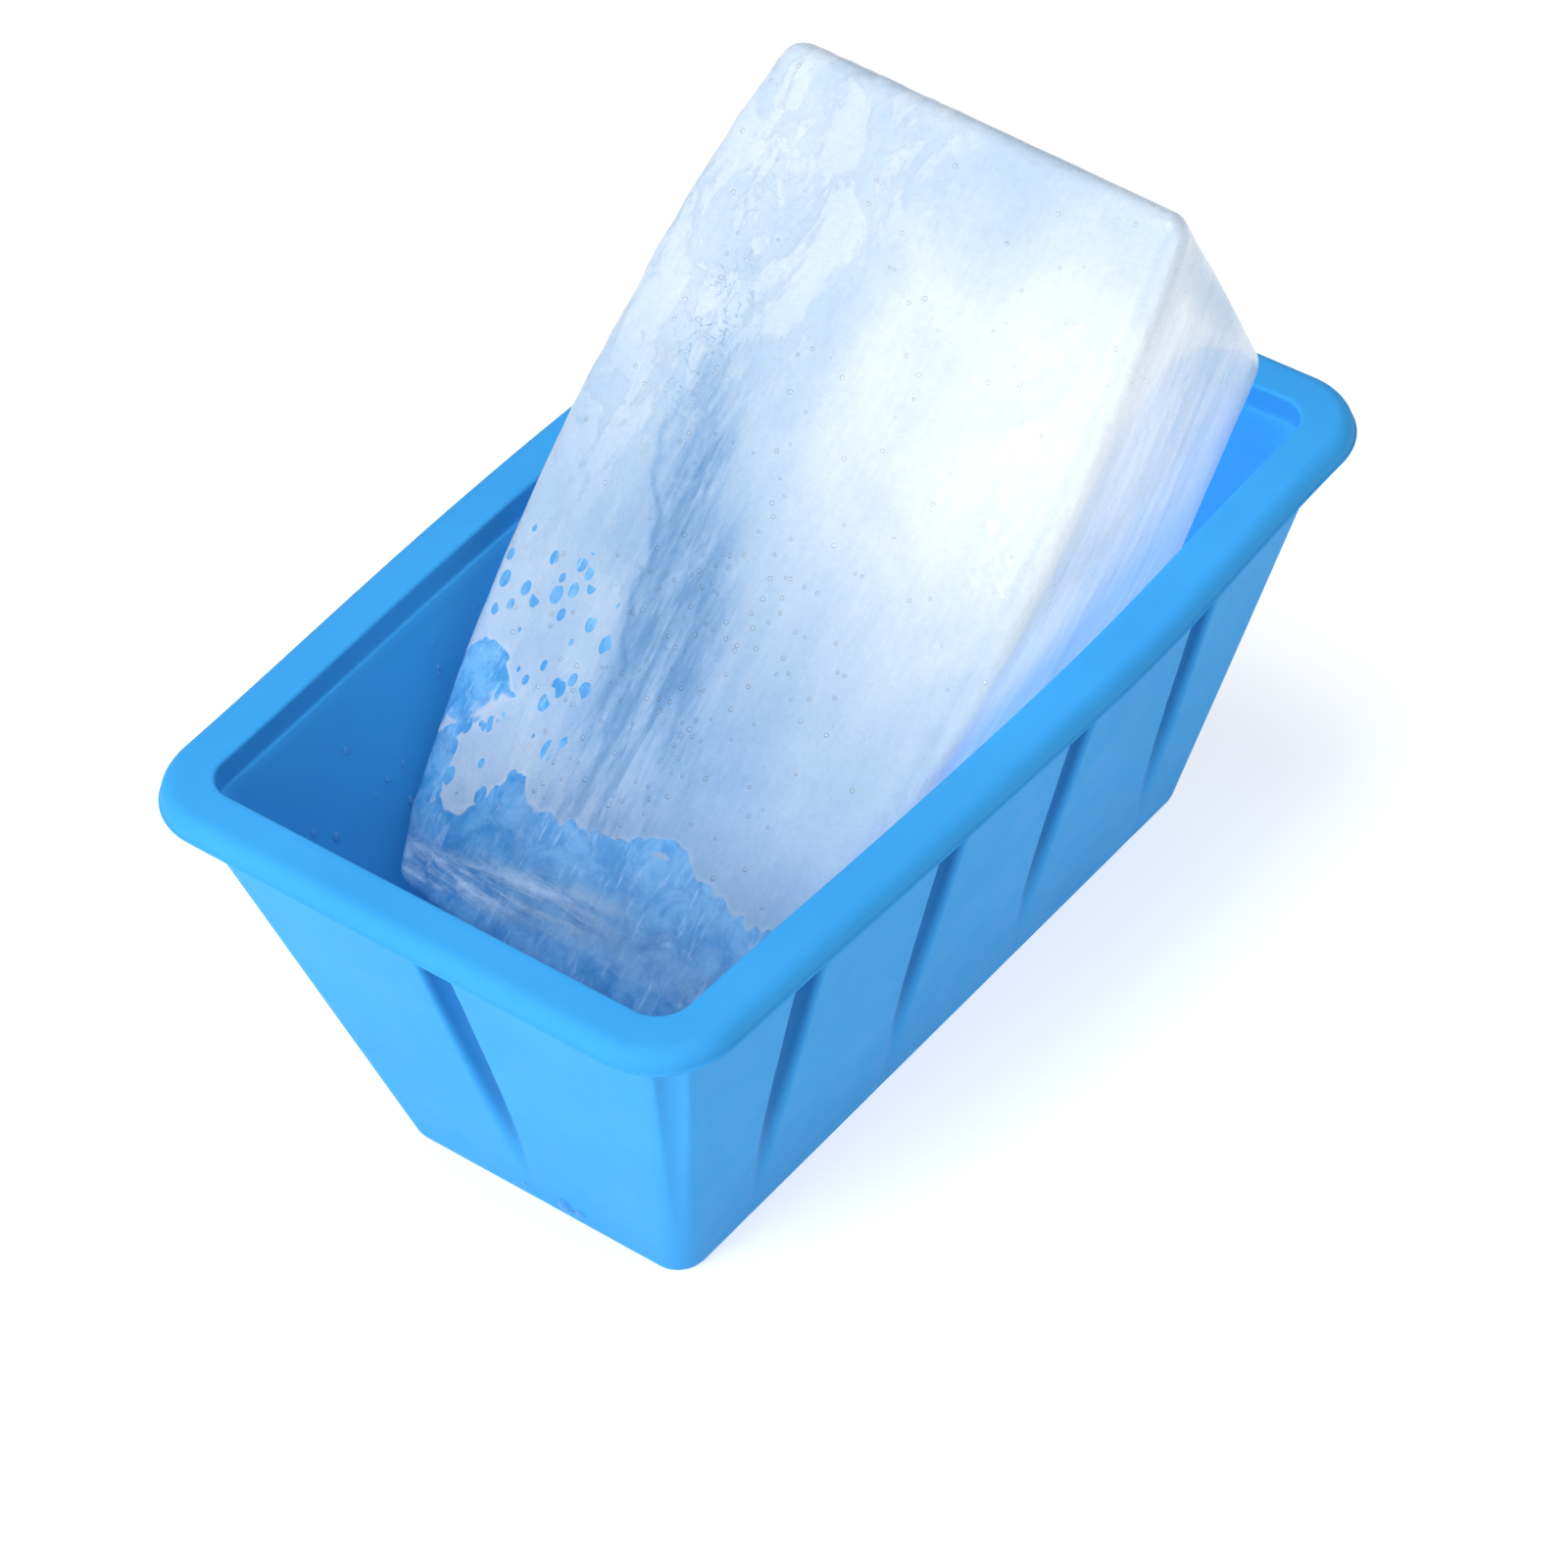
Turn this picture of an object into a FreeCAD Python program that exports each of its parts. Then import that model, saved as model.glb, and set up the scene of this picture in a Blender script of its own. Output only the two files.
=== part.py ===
"""Silicone loaf mould with the block cast in it, tilted half out.

Frame: millimetres, +Z up, X along the mould's length and Y across its width.
The origin is the middle of the mould's base, on the surface it stands on.
The mould is one flexible moulding: a drafted trough under a broad flat rim.
The block is loose: its low corner stands on the trough's floor and its
underside leans on the rim at the +X end.
"""
import FreeCAD, Part
import math
import os

from FreeCAD import Vector

# ---- driving dimensions of the mould ----
RIM_LENGTH = 300.0
RIM_WIDTH = 178.0
HEIGHT = 133.0
BASE_LENGTH = 222.0
BASE_WIDTH = 95.0
RIM_FLAT = 14.0
RIM_THICKNESS = 7.5
RIM_OVERHANG = 8.0
FLOOR_THICKNESS = 4.5
WALL_AT_FLOOR = 4.2
LEDGE_DEPTH = 8.0
LEDGE_WIDTH = 0.8

# corner radii in plan, and edge rounds
RIM_CORNER = 22.0
WALL_CORNER_TOP = 10.0
WALL_CORNER_BASE = 8.0
MOUTH_CORNER = 9.0
FLOOR_CORNER = 7.0
RIM_TOP_ROUND = 4.5
RIM_UNDER_ROUND = 1.5
MOUTH_ROUND = 0.8
BASE_ROUND = 2.5
FLOOR_ROUND = 5.0

# grip flutes pressed into the outside of the walls
PANELS_PER_LONG_SIDE = 5
FLUTE_RADIUS = 6.0
FLUTE_DEPTH = 4.8
FLUTE_TIP_HEIGHT = 12.0
CORNER_FLUTE_RADIUS = 6.5
CORNER_FLUTE_DEPTH = 2.6
CORNER_FLUTE_TIP_HEIGHT = 28.0

# ---- driving dimensions of the cast block ----
BLOCK_THICKNESS = 103.0
BLOCK_BOTTOM_LENGTH = 210.0
BLOCK_BOTTOM_LOW_WIDTH = 72.0
BLOCK_BOTTOM_HIGH_WIDTH = 98.0
BLOCK_BOTTOM_BOW = 10.0
BLOCK_FACE_LENGTH = 245.0
BLOCK_FACE_LOW_WIDTH = 115.5
BLOCK_FACE_HIGH_WIDTH = 131.0
BLOCK_FACE_BOW = 13.2
BLOCK_END_BOW = 1.5
BLOCK_CORNER_ROUND = 11.0
BLOCK_EDGE_ROUND = 5.0

# how the block lies at rest, turned about the middle of its low bottom edge
BLOCK_TILT = 40.2
BLOCK_TURN = -2.8
BLOCK_ROLL = 0.4
BLOCK_LOW_EDGE = Vector(-18.5, -1.35, 4.6)

# ---- worked-out sizes ----
WALL_TOP = HEIGHT - RIM_THICKNESS
WALL_TOP_LENGTH = RIM_LENGTH - 2 * RIM_OVERHANG
WALL_TOP_WIDTH = RIM_WIDTH - 2 * RIM_OVERHANG
MOUTH_LENGTH = RIM_LENGTH - 2 * RIM_FLAT
MOUTH_WIDTH = RIM_WIDTH - 2 * RIM_FLAT
LEDGE_Z = HEIGHT - LEDGE_DEPTH
CAVITY_TOP_LENGTH = MOUTH_LENGTH - 2 * LEDGE_WIDTH
CAVITY_TOP_WIDTH = MOUTH_WIDTH - 2 * LEDGE_WIDTH
FLOOR_LENGTH = BASE_LENGTH - 2 * WALL_AT_FLOOR
FLOOR_WIDTH = BASE_WIDTH - 2 * WALL_AT_FLOOR
LONG_DRAFT = math.atan2(WALL_TOP_WIDTH - BASE_WIDTH, 2 * WALL_TOP)
END_DRAFT = math.atan2(WALL_TOP_LENGTH - BASE_LENGTH, 2 * WALL_TOP)
RUN_OUT = 6.0


def rounded_rectangle(length, width, radius, z):
    """Closed wire of four straight sides joined by quarter arcs."""
    half_x = length / 2 - radius
    half_y = width / 2 - radius
    corners = [(half_x, half_y, 0), (-half_x, half_y, 90), (-half_x, -half_y, 180), (half_x, -half_y, 270)]
    arcs = []
    for x, y, start in corners:
        points = []
        for step in (0, 45, 90):
            angle = math.radians(start + step)
            points.append(Vector(x + radius * math.cos(angle), y + radius * math.sin(angle), z))
        arcs.append(points)
    edges = []
    for index, points in enumerate(arcs):
        following = arcs[(index + 1) % len(arcs)]
        edges.append(Part.Arc(*points).toShape())
        edges.append(Part.LineSegment(points[-1], following[0]).toShape())
    return Part.Wire(edges)


def drafted(lower, upper):
    """Solid between two closed wires with straight draft lines."""
    return Part.makeLoft([lower, upper], True, True)


def edges_at_height(shape, z, slack=0.01):
    """Edges that lie wholly at height z."""
    found = []
    for edge in shape.Edges:
        box = edge.BoundBox
        if abs(box.ZMin - z) < slack and abs(box.ZMax - z) < slack:
            found.append(edge)
    return found


def outer_wall():
    """The trough's outside, with a rounded foot and the flutes cut in."""
    base = rounded_rectangle(BASE_LENGTH, BASE_WIDTH, WALL_CORNER_BASE, 0)
    top = rounded_rectangle(WALL_TOP_LENGTH, WALL_TOP_WIDTH, WALL_CORNER_TOP, WALL_TOP)
    wall = drafted(base, top)
    wall = wall.makeFillet(BASE_ROUND, edges_at_height(wall, 0))
    return wall.cut(Part.makeCompound(flute_cutters()))


def tilted_cylinder(low, high, radius):
    """Cylinder about the line from low to high, run out past both ends."""
    direction = (high - low).normalize()
    start = low - direction * RUN_OUT
    length = (high - low).Length + 2 * RUN_OUT
    return Part.makeCylinder(radius, length, start, direction)


def flute(low_point, high_point, outward, radius, depth):
    """Round cutter that grazes the wall at low_point and is depth deep at high_point."""
    low = low_point + outward * radius
    high = high_point + outward * (radius - depth)
    return tilted_cylinder(low, high, radius)


def wall_half_sizes(z):
    """Half length and half width of the outside at height z."""
    half_length = BASE_LENGTH / 2 + z * math.tan(END_DRAFT)
    half_width = BASE_WIDTH / 2 + z * math.tan(LONG_DRAFT)
    return half_length, half_width


def flute_cutters():
    """Flutes at an even pitch along the long sides, one per end, one per corner."""
    cutters = []
    pitch = WALL_TOP_LENGTH / PANELS_PER_LONG_SIDE
    low_length, low_width = wall_half_sizes(FLUTE_TIP_HEIGHT)
    high_length, high_width = wall_half_sizes(WALL_TOP)
    for side in (-1, 1):
        outward = Vector(0, side * math.cos(LONG_DRAFT), -math.sin(LONG_DRAFT))
        for index in range(1, PANELS_PER_LONG_SIDE):
            x = pitch * (index - PANELS_PER_LONG_SIDE / 2)
            low = Vector(x, side * low_width, FLUTE_TIP_HEIGHT)
            high = Vector(x, side * high_width, WALL_TOP)
            cutters.append(flute(low, high, outward, FLUTE_RADIUS, FLUTE_DEPTH))
        outward = Vector(side * math.cos(END_DRAFT), 0, -math.sin(END_DRAFT))
        low = Vector(side * low_length, 0, FLUTE_TIP_HEIGHT)
        high = Vector(side * high_length, 0, WALL_TOP)
        cutters.append(flute(low, high, outward, FLUTE_RADIUS, FLUTE_DEPTH))
    for side_x in (-1, 1):
        for side_y in (-1, 1):
            cutters.append(corner_flute(side_x, side_y))
    return cutters


def corner_point(side_x, side_y, z):
    """Middle of the rounded corner at height z."""
    half_length, half_width = wall_half_sizes(z)
    radius = WALL_CORNER_BASE + (WALL_CORNER_TOP - WALL_CORNER_BASE) * z / WALL_TOP
    inset = radius * (1 - math.sqrt(0.5))
    return Vector(side_x * (half_length - inset), side_y * (half_width - inset), z)


def corner_flute(side_x, side_y):
    """Flute down one rounded corner, square to the corner's own slope."""
    low = corner_point(side_x, side_y, CORNER_FLUTE_TIP_HEIGHT)
    high = corner_point(side_x, side_y, WALL_TOP)
    slope = (high - low).normalize()
    across = Vector(-side_x * side_y, 1, 0).normalize()
    outward = slope.cross(across).normalize()
    if outward.x * side_x < 0:
        outward = outward * -1
    return flute(low, high, outward, CORNER_FLUTE_RADIUS, CORNER_FLUTE_DEPTH)


def rim():
    """The broad flat band round the mouth, rounded over at its outer edge."""
    outline = rounded_rectangle(RIM_LENGTH, RIM_WIDTH, RIM_CORNER, WALL_TOP)
    slab = Part.Face(outline).extrude(Vector(0, 0, RIM_THICKNESS))
    slab = slab.makeFillet(RIM_TOP_ROUND, edges_at_height(slab, HEIGHT))
    return slab.makeFillet(RIM_UNDER_ROUND, edges_at_height(slab, WALL_TOP))


def cavity():
    """The casting space: drafted trough, then a ledge and a straight throat."""
    floor = rounded_rectangle(FLOOR_LENGTH, FLOOR_WIDTH, FLOOR_CORNER, FLOOR_THICKNESS)
    top = rounded_rectangle(CAVITY_TOP_LENGTH, CAVITY_TOP_WIDTH, MOUTH_CORNER - LEDGE_WIDTH, LEDGE_Z)
    trough = drafted(floor, top)
    trough = trough.makeFillet(FLOOR_ROUND, edges_at_height(trough, FLOOR_THICKNESS))
    throat_outline = rounded_rectangle(MOUTH_LENGTH, MOUTH_WIDTH, MOUTH_CORNER, LEDGE_Z)
    throat = Part.Face(throat_outline).extrude(Vector(0, 0, LEDGE_DEPTH + RUN_OUT))
    return trough.fuse(throat)


def mould_shell():
    body = outer_wall().fuse(rim()).cut(cavity()).removeSplitter()
    mouth = []
    for edge in edges_at_height(body, HEIGHT):
        box = edge.BoundBox
        reach = max(abs(box.XMin), abs(box.XMax)) <= MOUTH_LENGTH / 2 + 0.1
        if reach and max(abs(box.YMin), abs(box.YMax)) <= MOUTH_WIDTH / 2 + 0.1:
            mouth.append(edge)
    return body.makeFillet(MOUTH_ROUND, mouth)


def bowed_outline(length, low_width, high_width, side_bow, end_bow, z):
    """Closed wire of four shallow arcs that bulge outwards, wider at its +X end."""
    half_x = length / 2
    middle_y = (low_width + high_width) / 4 + side_bow
    corners = [
        Vector(half_x, high_width / 2, z),
        Vector(-half_x, low_width / 2, z),
        Vector(-half_x, -low_width / 2, z),
        Vector(half_x, -high_width / 2, z),
    ]
    middles = [
        Vector(0, middle_y, z),
        Vector(-half_x - end_bow, 0, z),
        Vector(0, -middle_y, z),
        Vector(half_x + end_bow, 0, z),
    ]
    edges = []
    for index, middle in enumerate(middles):
        following = corners[(index + 1) % len(corners)]
        edges.append(Part.Arc(corners[index], middle, following).toShape())
    return Part.Wire(edges)


def cast_block():
    """The cast, narrow face down, its long sides bulged by the mould's soft walls."""
    bottom = bowed_outline(
        BLOCK_BOTTOM_LENGTH, BLOCK_BOTTOM_LOW_WIDTH, BLOCK_BOTTOM_HIGH_WIDTH, BLOCK_BOTTOM_BOW, BLOCK_END_BOW, 0
    )
    face = bowed_outline(
        BLOCK_FACE_LENGTH, BLOCK_FACE_LOW_WIDTH, BLOCK_FACE_HIGH_WIDTH, BLOCK_FACE_BOW, BLOCK_END_BOW,
        BLOCK_THICKNESS
    )
    block = drafted(bottom, face)
    uprights = []
    for edge in block.Edges:
        if edge.BoundBox.ZLength > BLOCK_THICKNESS / 2:
            uprights.append(edge)
    block = block.makeFillet(BLOCK_CORNER_ROUND, uprights)
    flat_edges = edges_at_height(block, 0) + edges_at_height(block, BLOCK_THICKNESS)
    block = block.makeFillet(BLOCK_EDGE_ROUND, flat_edges)
    block.translate(Vector(BLOCK_BOTTOM_LENGTH / 2, 0, 0))
    block.rotate(Vector(0, 0, 0), Vector(1, 0, 0), BLOCK_ROLL)
    block.rotate(Vector(0, 0, 0), Vector(0, 1, 0), -BLOCK_TILT)
    block.rotate(Vector(0, 0, 0), Vector(0, 0, 1), BLOCK_TURN)
    block.translate(BLOCK_LOW_EDGE)
    return block


PIECES = {
    "mould_shell": mould_shell,
    "cast_block": cast_block,
}


def main():
    os.makedirs("parts", exist_ok=True)
    for name, build in PIECES.items():
        shape = build()
        shape.exportStep("parts/" + name + ".step")
        box = shape.BoundBox
        print(name, "solids", len(shape.Solids), "valid", shape.isValid(), "cm3", round(shape.Volume / 1000, 1))
        print("  x", round(box.XMin, 2), round(box.XMax, 2), "y", round(box.YMin, 2), round(box.YMax, 2),
              "z", round(box.ZMin, 2), round(box.ZMax, 2))


main()
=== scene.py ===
"""Silicone loaf mould and the clear-ice block cast in it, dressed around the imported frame.

Metres, +Z up, in the row frame: X along the mould, Y across it, origin under the middle of its base.
"""
import math
import random

import bmesh
import bpy
import numpy as np
from mathutils import Matrix, Vector, noise


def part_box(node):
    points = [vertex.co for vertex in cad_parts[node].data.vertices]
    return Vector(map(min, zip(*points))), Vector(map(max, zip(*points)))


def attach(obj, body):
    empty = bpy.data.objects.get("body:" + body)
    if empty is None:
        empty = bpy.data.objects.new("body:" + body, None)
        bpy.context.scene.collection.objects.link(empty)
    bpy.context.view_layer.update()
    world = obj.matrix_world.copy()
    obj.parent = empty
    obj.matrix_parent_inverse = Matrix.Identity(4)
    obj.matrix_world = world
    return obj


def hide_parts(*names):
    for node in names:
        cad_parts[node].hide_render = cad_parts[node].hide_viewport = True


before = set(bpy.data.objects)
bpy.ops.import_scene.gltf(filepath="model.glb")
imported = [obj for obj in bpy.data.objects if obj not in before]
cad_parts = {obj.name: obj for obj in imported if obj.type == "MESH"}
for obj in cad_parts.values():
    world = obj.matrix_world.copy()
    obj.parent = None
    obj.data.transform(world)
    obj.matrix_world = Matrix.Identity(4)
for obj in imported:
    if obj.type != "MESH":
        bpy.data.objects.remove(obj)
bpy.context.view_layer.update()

# ---- sizes taken from the frame ----
SHELL_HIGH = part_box("mould_shell")[1]
RIM_HALF_X = SHELL_HIGH.x
RIM_HALF_Y = SHELL_HIGH.y
HEIGHT = SHELL_HIGH.z

# ---- the moulding's section, as it is designed ----
RIM_THICKNESS = 0.0075
RIM_FLAT = 0.014
RIM_OVERHANG = 0.008
RIM_CORNER = 0.022
RIM_TOP_ROUND = 0.0045
RIM_UNDER_ROUND = 0.0015
MOUTH_CORNER = 0.009
MOUTH_ROUND = 0.0010
BASE_HALF_X = 0.111
BASE_HALF_Y = 0.0475
WALL_CORNER_BASE = 0.008
WALL_CORNER_TOP = 0.010
BASE_ROUND = 0.0025
WALL_TOP = HEIGHT - RIM_THICKNESS
LEDGE_Z = HEIGHT - 0.008
LEDGE_WIDTH = 0.0008
LEDGE_EDGE = 0.0001
FLOOR_Z = 0.0045
WALL_AT_FLOOR = 0.0042
FLOOR_HALF_X = BASE_HALF_X - WALL_AT_FLOOR
FLOOR_HALF_Y = BASE_HALF_Y - WALL_AT_FLOOR
FLOOR_CORNER = 0.007
FLOOR_ROUND = 0.005
UNDER_RIM_FILLET = 0.0012
FLASH_HEIGHT = 0.0009
FLASH_STAND = 0.0006
LIP_SOFTNESS = 0.0004
LIP_OFFSET = 0.08 * LIP_SOFTNESS

# how far the long walls belly out, and how that grows with height
WALL_BOW = 0.0040
BOW_GROWTH = 1.4

# the loaded side's rim sinks: how far, from what y, how far down the wall, and where along x
ROLL_DROP = 0.0026
ROLL_START_Y = 0.072
ROLL_REACH_DOWN = 0.012
ROLL_MIDDLE_X = 0.045
ROLL_SPREAD_X = 0.045

# flutes: radius, depth under the rim, height of the tip, and the share of the rise at which
# a cut below its tip stops leaving the wall
FLUTE_RADIUS = 0.0060
FLUTE_DEPTH = 0.0048
FLUTE_TIP = 0.012
FLUTE_TAIL = -0.2
CORNER_FLUTE_RADIUS = 0.0065
CORNER_FLUTE_DEPTH = 0.0026
CORNER_FLUTE_TIP = 0.028
CORNER_FLUTE_TAIL = -0.3

# how long the side flutes keep their depth, how far round a corner its flute is looked for,
# how squarely a point faces a side to count as on it, and the places along each side
FLUTE_RUN_OUT = 1.35
CORNER_FLUTE_ZONE = 3 * FLUTE_RADIUS
ON_SIDE = 0.999
PANELS = 5
LONG_FLUTES = [
    2 * (RIM_HALF_X - RIM_OVERHANG) * (index / PANELS - 0.5) for index in range(1, PANELS)
]
END_FLUTES = [0.0]

# the moulding's mesh: stretches with close points, their steps, and the number of rings
FLUTE_REACH = 0.0078
CORNER_REACH = 0.006
CORNER_REACH_STEPS = 9
FLUTE_STEPS = 28
PANEL_STEPS = 6
CORNER_STEPS = 26
OUTSIDE_RINGS = 72
INSIDE_RINGS = 44
DISC_RINGS = (0.05, 0.3, 0.6, 0.85, 0.96)

# ---- the block, in its own frame: x from low end to high end, z up to its large face ----
BLOCK_THICKNESS = 0.103
BLOCK_BOTTOM_HALF_LENGTH = 0.105
BLOCK_FACE_HALF_LENGTH = 0.1235
BLOCK_ROUND = 0.0065
BLOCK_TILT = math.radians(40.2)
BLOCK_TURN = math.radians(-2.8)
BLOCK_ROLL = math.radians(0.4)
BLOCK_LOW_EDGE = Vector((-0.0185, -0.00135, 0.0046))
BLOCK_STEP = 0.0012
# the grid's half width before block_half_width() gives each point its real one
BLOCK_GRID_HALF_WIDTH = 0.075
# half widths at the bottom and the face: at mid-length, what the high end adds, and the belly
BLOCK_WIDTHS = ((0.0425, 0.0065, 0.0100), (0.0616, 0.0039, 0.0135))
# the chipped corner: where, how wide and how deep
CHIP_X, CHIP_Y, CHIP_SIZE, CHIP_DEPTH = -0.121, 0.052, 0.012, 0.0030
# heights of the surface's waves, its small lumps, the rough left of the face and the ragged low end
WAVES, LUMPS, ROUGHNESS, RAGGEDNESS = 0.0007, 0.00016, 0.00040, 0.0011

# raised beads on the face: how many, and the two ends of the run they lie along
BEAD_COUNT = 90
BEAD_RUN_START = (0.018, -0.060)
BEAD_RUN_END = (0.090, -0.046)

# ---- melt water: how many drops on the inside wall and at what heights, and the place across
# and size of each one at the foot ----
WALL_DROPS = 48
WALL_DROP_LOW, WALL_DROP_HIGH = 0.050, 0.122
FOOT_DROPS = ((-0.010, 0.0026), (-0.0150, 0.0018), (0.004, 0.0012))
FOOT_DROP_Z = 0.0075
FOOT_DROP_OUT = 0.0016
DROP_ROUNDS = 14
DROP_ROWS = 5
DROP_BULGE = 0.25

# ---- colours, as linear light ----
SILICONE_MOTTLE = ((0.040, 0.310, 0.700), (0.046, 0.332, 0.735))
SILICONE_CLOUD = (0.052, 0.345, 0.750)
# painted shade deep in the flutes
SILICONE_FLUTE_SHADE = (0.012, 0.150, 0.430)
SILICONE_SUBSURFACE = (0.35, 0.7, 1.0)
ICE_VEIL = (0.42, 0.70, 1.0)
# painted glow given out by the ice's surface, standing in for light carried through the ice
ICE_PAINTED_GLOW = ((0.56, 0.77, 0.96), (0.78, 0.90, 1.0))
# painted view of the blue mould seen through the clear ice
WINDOW_PAINTED_VIEW = ((0.045, 0.25, 0.57), (0.14, 0.40, 0.72))
WINDOW_SCRATCH = (0.40, 0.64, 0.90)
WATER_TINTS = ((0.06, 0.36, 0.80), (0.14, 0.46, 0.86))
FLOOR_TINTS = ((0.60, 0.60, 0.60), (0.63, 0.63, 0.63))
WORLD_TINT = (0.95, 0.98, 1.0, 1.0)
SILICONE_IOR, ICE_IOR, WATER_IOR = 1.41, 1.31, 1.33

# ---- stage ----
FLOOR_SIZE = 12.0
WORLD_STRENGTH = 0.28
# softboxes: name, place, the point each one faces, side and power
SOFTBOXES = (
    ("overhead", (-0.15, 0.05, 1.6), (0, 0, 0.1), 0.8, 13.0),
    ("left_box", (-1.27, 0.12, 0.75), (0, 0, 0.08), 0.7, 15.5),
    ("right_box", (0.10, -1.30, 0.85), (0, 0, 0.08), 0.6, 2.8),
)

# ---- camera ----
VIEW_AZIMUTH = math.radians(-48.319)
VIEW_ELEVATION = math.radians(43.437)
VIEW_ROLL = math.radians(-5.228)
VIEW_DISTANCE = 1.54318
VIEW_TARGET = Vector((0.0, 0.0, 0.060))
VIEW_OFFSET = (-0.0014, 0.00325)
SENSOR = 36.0
LENS = 133.61
CLIP_END = 50.0

# ---- units and directions ----
MM = 1000
UP = Vector((0, 0, 1))


def lerp(a, b, t):
    return a + (b - a) * t


def smoothstep(low, high, value):
    t = np.clip((value - low) / (high - low), 0.0, 1.0)
    return t * t * (3 - 2 * t)


def hill(value, middle, width):
    return np.exp(-(((value - middle) / width) ** 2))


def grown(sizes, amount):
    """Half length, half width and corner radius of an outline moved outwards by amount."""
    return [size + amount for size in sizes]


# ---------------------------------------------------------------- mesh helpers
def mesh_object(name, points, faces, material):
    mesh = bpy.data.meshes.new(name)
    mesh.from_pydata([tuple(p) for p in points], [], faces)
    mesh.validate()
    mesh.update()
    mesh.shade_smooth()
    obj = bpy.data.objects.new(name, mesh)
    bpy.context.scene.collection.objects.link(obj)
    mesh.materials.append(material)
    return obj


def bands(rings, count):
    """Quads between rings of count points each, one ring after the other."""
    faces = []
    for low in range(0, (rings - 1) * count, count):
        for index in range(count):
            after = (index + 1) % count
            faces.append([low + index, low + after, low + count + after, low + count + index])
    return faces


def store(mesh, name, values):
    """Keeps one number per vertex for the material to read."""
    layer = mesh.attributes.new(name, "FLOAT", "POINT")
    layer.data.foreach_set("value", np.asarray(values, np.float32))


def vertex_array(mesh, name):
    values = np.zeros(len(mesh.vertices) * 3)
    mesh.vertices.foreach_get(name, values)
    return values.reshape(-1, 3)


# ---------------------------------------------------------------- node helpers
class Nodes:
    """Builds one material's node tree with short calls."""

    # sockets of a colour Mix node: its two colours and its result
    MIX_COLOURS = (6, 7)
    MIX_RESULT = 2

    def __init__(self, name):
        self.material = bpy.data.materials.new(name)
        self.material.use_nodes = True
        self.tree = self.material.node_tree
        self.tree.nodes.clear()
        self.output = self.tree.nodes.new("ShaderNodeOutputMaterial")

    def put(self, socket, value):
        if isinstance(value, bpy.types.NodeSocket):
            self.tree.links.new(value, socket)
        elif isinstance(value, tuple) and socket.type == "RGBA" and len(value) == 3:
            socket.default_value = (*value, 1.0)
        else:
            socket.default_value = value

    def add(self, kind, inputs=None, **settings):
        made = self.tree.nodes.new(kind)
        for key, value in settings.items():
            setattr(made, key, value)
        for key, value in (inputs or {}).items():
            self.put(made.inputs[key], value)
        return made

    def math(self, operation, a, b=0.0):
        made = self.add("ShaderNodeMath", operation=operation)
        self.put(made.inputs[0], a)
        self.put(made.inputs[1], b)
        return made.outputs[0]

    def centred(self, value):
        """A value of 0 to 1 moved to -0.5 to 0.5."""
        return self.math("SUBTRACT", value, 0.5)

    def layered(self, base, *layers):
        """base with each layer added or subtracted: (operation, layer, share)."""
        for operation, layer, share in layers:
            base = self.math(operation, base, self.math("MULTIPLY", layer, share))
        return base

    def place(self, scale=(1.0, 1.0, 1.0), turn=(0.0, 0.0, 0.0)):
        """The piece's own coordinates, scaled and turned."""
        coordinates = self.add("ShaderNodeTexCoord").outputs["Object"]
        given = {"Vector": coordinates, "Rotation": turn, "Scale": scale}
        return self.add("ShaderNodeMapping", given).outputs[0]

    def noise(self, at, scale, detail=3.0, roughness=0.5, distortion=0.0):
        """Soft noise of about 0 to 1; scale counts its lumps per metre."""
        look = {"Scale": scale, "Detail": detail, "Roughness": roughness, "Distortion": distortion}
        return self.add("ShaderNodeTexNoise", {"Vector": at, **look}).outputs["Fac"]

    def cells(self, at, scale):
        """Scattered cells: the distance from their middles, and two random numbers for each."""
        given = {"Vector": at, "Scale": scale, "Randomness": 1.0}
        made = self.add("ShaderNodeTexVoronoi", given)
        dice = self.add("ShaderNodeSeparateColor", {0: made.outputs["Color"]})
        return made.outputs["Distance"], dice.outputs[0], dice.outputs[1]

    def remap(self, value, low, high, to_low=0.0, to_high=1.0):
        """value eased from the range low to high into the range to_low to to_high."""
        made = self.add(
            "ShaderNodeMapRange",
            {"Value": value, "From Min": low, "From Max": high, "To Min": to_low, "To Max": to_high},
            interpolation_type="SMOOTHSTEP",
        )
        return made.outputs[0]

    def attribute(self, name):
        return self.add("ShaderNodeAttribute", attribute_name=name).outputs["Fac"]

    def blend(self, factor, a, b):
        made = self.add("ShaderNodeMix", data_type="RGBA")
        self.put(made.inputs[0], factor)
        for socket, tint in zip(self.MIX_COLOURS, (a, b)):
            self.put(made.inputs[socket], tint)
        return made.outputs[self.MIX_RESULT]

    def bump(self, height, distance, strength):
        given = {"Height": height, "Distance": distance, "Strength": strength}
        return self.add("ShaderNodeBump", given).outputs[0]

    def principled(self, **inputs):
        named = {key.replace("_", " "): value for key, value in inputs.items()}
        return self.add("ShaderNodeBsdfPrincipled", named)

    def finish(self, shader):
        self.put(self.output.inputs["Surface"], shader)
        return self.material


def colour(red, green, blue):
    """An sRGB colour of 0 to 255 as linear light."""
    out = []
    for channel in (red, green, blue):
        c = channel / 255
        out.append(c / 12.92 if c <= 0.04045 else ((c + 0.055) / 1.055) ** 2.4)
    return tuple(out)


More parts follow.
